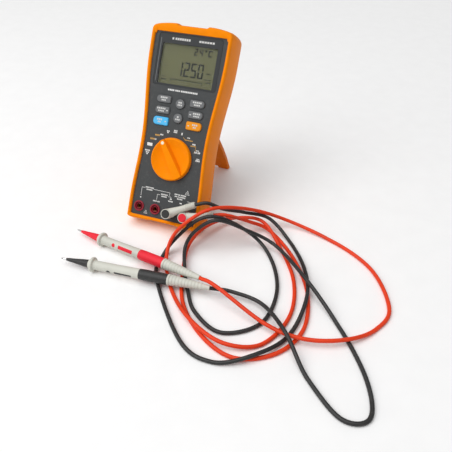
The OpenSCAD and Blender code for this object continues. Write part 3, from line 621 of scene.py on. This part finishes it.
# Rows of dashes by the jacks: centre, length and the letters of each word
JACK_ROWS = [
    (-19.5, 40.5, 9.6, [4, 4]), (-19.5, 38.2, 6.8, [5]), (-1.6, 36.3, 7.6, [6]), (-1.6, 34.1, 6.0, [5]),
    (16.5, 39.4, 13, [3, 2, 5]), (16.5, 37.2, 12, [2, 1, 5]), (16.5, 35.0, 6, [4]),
    (-9.5, 27.6, 7.6, [3, 2]), (6.6, 30.6, 5.2, [4]), (6.6, 33.0, 2.2, [1]), (18.5, 30.8, 2.6, [1]),
    (-28.5, 28.4, 1.3, [1]),
]
for x, y, length, letters in JACK_ROWS:
    white += words(x, y, length, 1.3, letters)
flat_shapes("face_print_white", white, PRINT_WHITE, BODY, 0.0)
flat_shapes("face_print_gold", gold, PRINT_GOLD, BODY, 0.0)

KEY_TOP = 1.8
# Centre of each key, the letters of its two rows and the side that its small arrow is on
KEYS = {
    "key_top_left": (-18.7, 135.0, [4], [3], 0), "key_top_right": (18.7, 135.0, [5], [4], 0),
    "key_middle_left": (-18.7, 123.7, [5], [4], 1), "key_middle_right": (18.7, 123.7, [4], [4], -1),
    "key_blue": (-18.7, 112.3, [3], [2], 1), "key_orange": (18.7, 112.3, [3], [2], -1),
    "key_round_upper": (0, 132.3, [2], [3], 0), "key_round_lower": (0, 117.6, [1], [3], 0),
}
for key, (x, y, upper, lower, arrow) in KEYS.items():
    middle = x - 1.2 * arrow
    marks = words(middle, y + 1.35, 1.9 * sum(upper), 1.7, upper)
    marks += words(middle, y - 1.2, 1.6 * sum(lower), 1.5, lower)
    if arrow:
        marks.append(bar(x + 5.6 * arrow, y - 0.2, 1.6, 1.1))
    flat_shapes(key + "_print", marks, PRINT_PALE, key, KEY_TOP)

# ---------------------------------------------------------------- display
LCD_TOP = -3.1


def frame_shape(name, outer, inner, z0, z1, material):
    """A flat rectangular ring between two outlines of the same number of points."""
    n = len(outer)
    points = [(x, y, z) for z in (z0, z1) for outline in (outer, inner) for x, y in outline]
    faces = []
    for i in range(n):
        k = (i + 1) % n
        faces += [(i, n + i, n + k, k), (2 * n + i, 2 * n + k, 3 * n + k, 3 * n + i),
                  (i, k, 2 * n + k, 2 * n + i), (n + i, 3 * n + i, 3 * n + k, n + k)]
    return link(name, mesh_from(name, points, faces, POSED), material, BODY)


def round_rect(cx, cy, w, h, r):
    out = []
    for sx, sy, start in ((1, 1, 0), (-1, 1, 90), (-1, -1, 180), (1, -1, 270)):
        for k in range(5):
            a = math.radians(start + 22.5 * k)
            out.append((cx + sx * (w / 2 - r) + r * math.cos(a), cy + sy * (h / 2 - r) + r * math.sin(a)))
    return out


LENS_LOW = -1.35
LENS_HIGH = -0.1
PRINT_HIGH = -0.04
LENS_OUT = round_rect(0, 175, 69.8, 51.8, 3)
LENS_IN = round_rect(0, 171.2, 61, 40.6, 0.6)
n_lens = len(LENS_OUT)
lens_points = [(x, y, z) for z in (LENS_LOW, LENS_HIGH) for x, y in LENS_OUT]
lens_faces = [tuple(reversed(range(n_lens))), tuple(range(n_lens, 2 * n_lens))]
lens_faces += [(i, (i + 1) % n_lens, n_lens + (i + 1) % n_lens, n_lens + i) for i in range(n_lens)]
lens = link("display_lens_looks", mesh_from("display_lens_looks", lens_points, lens_faces, POSED),
            MATERIALS["lens"], BODY)
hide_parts("display_lens")
frame_shape("lens_border_print", LENS_OUT, LENS_IN, LENS_HIGH, PRINT_HIGH, BEZEL_INK)
head_dashes = words(-10.5, 196.3, 20, 2.2, [1, 7]) + words(17.5, 196.3, 16.5, 1.9, [6])
flat_shapes("lens_print", head_dashes, PRINT_PALE, BODY, PRINT_HIGH)
# A thin light line left of the window: the lens edge's highlight, painted on
flat_shapes("lens_highlight_line", stroke([(-32.6, 152.5), (-32.6, 196)], 0.45), LENS_HIGHLIGHT, BODY, PRINT_HIGH)

# Seven-segment digits: which of the segments a to g are dark
DIGITS = {"0": "abcdef", "1": "bc", "2": "abged", "4": "fgbc", "5": "afgcd"}


def segment(x, y, w, h, t, name):
    """The outline of one segment, t wide, of a digit w by h with its corner at x, y."""
    gap = t * 0.06
    half = h / 2
    flat = {"a": h - t / 2, "g": half, "d": t / 2}
    if name in flat:
        y0 = y + flat[name]
        x0 = x + gap + t / 2
        x1 = x + w - gap - t / 2
        return [(x0 - t / 2 + gap, y0), (x0, y0 - t / 2), (x1, y0 - t / 2), (x1 + t / 2 - gap, y0),
                (x1, y0 + t / 2), (x0, y0 + t / 2)]
    x0 = x + (t / 2 if name in "ef" else w - t / 2)
    low = y + (half if name in "fb" else 0) + gap + t / 2
    high = low + half - 2 * gap - t
    return [(x0, low - t / 2 + gap), (x0 + t / 2, low), (x0 + t / 2, high), (x0, high + t / 2 - gap),
            (x0 - t / 2, high), (x0 - t / 2, low)]


def digits(text, x, y, w, h, t, pitch):
    return [segment(x + i * pitch, y, w, h, t, name)
            for i, sign in enumerate(text) for name in DIGITS[sign]]


dark = digits("1250", -11.6, 160.3, 6.3, 14.8, 1.75, 7.7)
dark += digits("24", 4.4, 182.6, 4.1, 7.4, 1.3, 5.6)
# The decimal point, the degree sign with its C, the scale with its ticks, and small signs
dark.append(bar(-3.6, 161.2, 1.5, 1.5))
dark += stroke([(16.6, 187.8), (17.8, 187.8), (17.8, 189.2), (16.6, 189.2), (16.6, 187.8)], 0.9)
dark += stroke([(23.4, 188.9), (20.6, 188.9), (20.6, 183.7), (23.4, 183.7)], 1.4)
dark += stroke([(-17, 153.6), (-17, 156.4), (18, 156.4), (18, 154.0)], 0.7)
dark += [bar(-17 + 1.75 * i, 157.3, 0.4, 1.3 if i % 5 else 2.2) for i in range(21)]
dark += words(23.5, 166.5, 4.2, 1.4, [3]) + words(23.5, 160.5, 6.4, 1.1, [2, 2])
dark += words(24.5, 157.8, 5.2, 1.5, [3]) + words(-25.3, 155.4, 5.6, 1.6, [3])
dark += words(-25.3, 158.4, 4.6, 0.9, [3]) + words(-25.5, 169.4, 3.6, 0.8, [2])
flat_shapes("lcd_segments", dark, LCD_INK, BODY, LCD_TOP, 0.04)

# ---------------------------------------------------------------- floor and light
FLOOR_HALF = 9
floor_corners = [(x * FLOOR_HALF, y * FLOOR_HALF, 0) for x, y in ((-1, -1), (1, -1), (1, 1), (-1, 1))]
floor_mesh = mesh_from("floor", floor_corners, [(0, 1, 2, 3)])
floor = bpy.data.objects.new("floor", floor_mesh)
floor.data.materials.append(FLOOR)
bpy.context.scene.collection.objects.link(floor)


def area_light(name, place, aim, size, power):
    data = bpy.data.lights.new(name, "AREA")
    data.shape = "DISK"
    data.size = size
    data.energy = power
    lamp = bpy.data.objects.new(name, data)
    lamp.location = place
    lamp.rotation_euler = (Vector(aim) - Vector(place)).to_track_quat("-Z", "Y").to_euler()
    bpy.context.scene.collection.objects.link(lamp)


area_light("key_light", (-0.75, -0.9, 1.05), (0.05, -0.05, 0.05), 1.1, 8)
sky_data = bpy.data.lights.new("soft_sky", "SUN")
sky_data.energy = 1.5
sky_data.angle = math.radians(60)
sky = bpy.data.objects.new("soft_sky", sky_data)
sky.rotation_euler = (math.radians(8), math.radians(-12), 0)
bpy.context.scene.collection.objects.link(sky)
world = bpy.data.worlds.new("studio")
world.use_nodes = True
world.node_tree.nodes["Background"].inputs["Color"].default_value = (1, 1, 1, 1)
world.node_tree.nodes["Background"].inputs["Strength"].default_value = 0.33
bpy.context.scene.world = world
bpy.context.scene.view_settings.view_transform = "Standard"
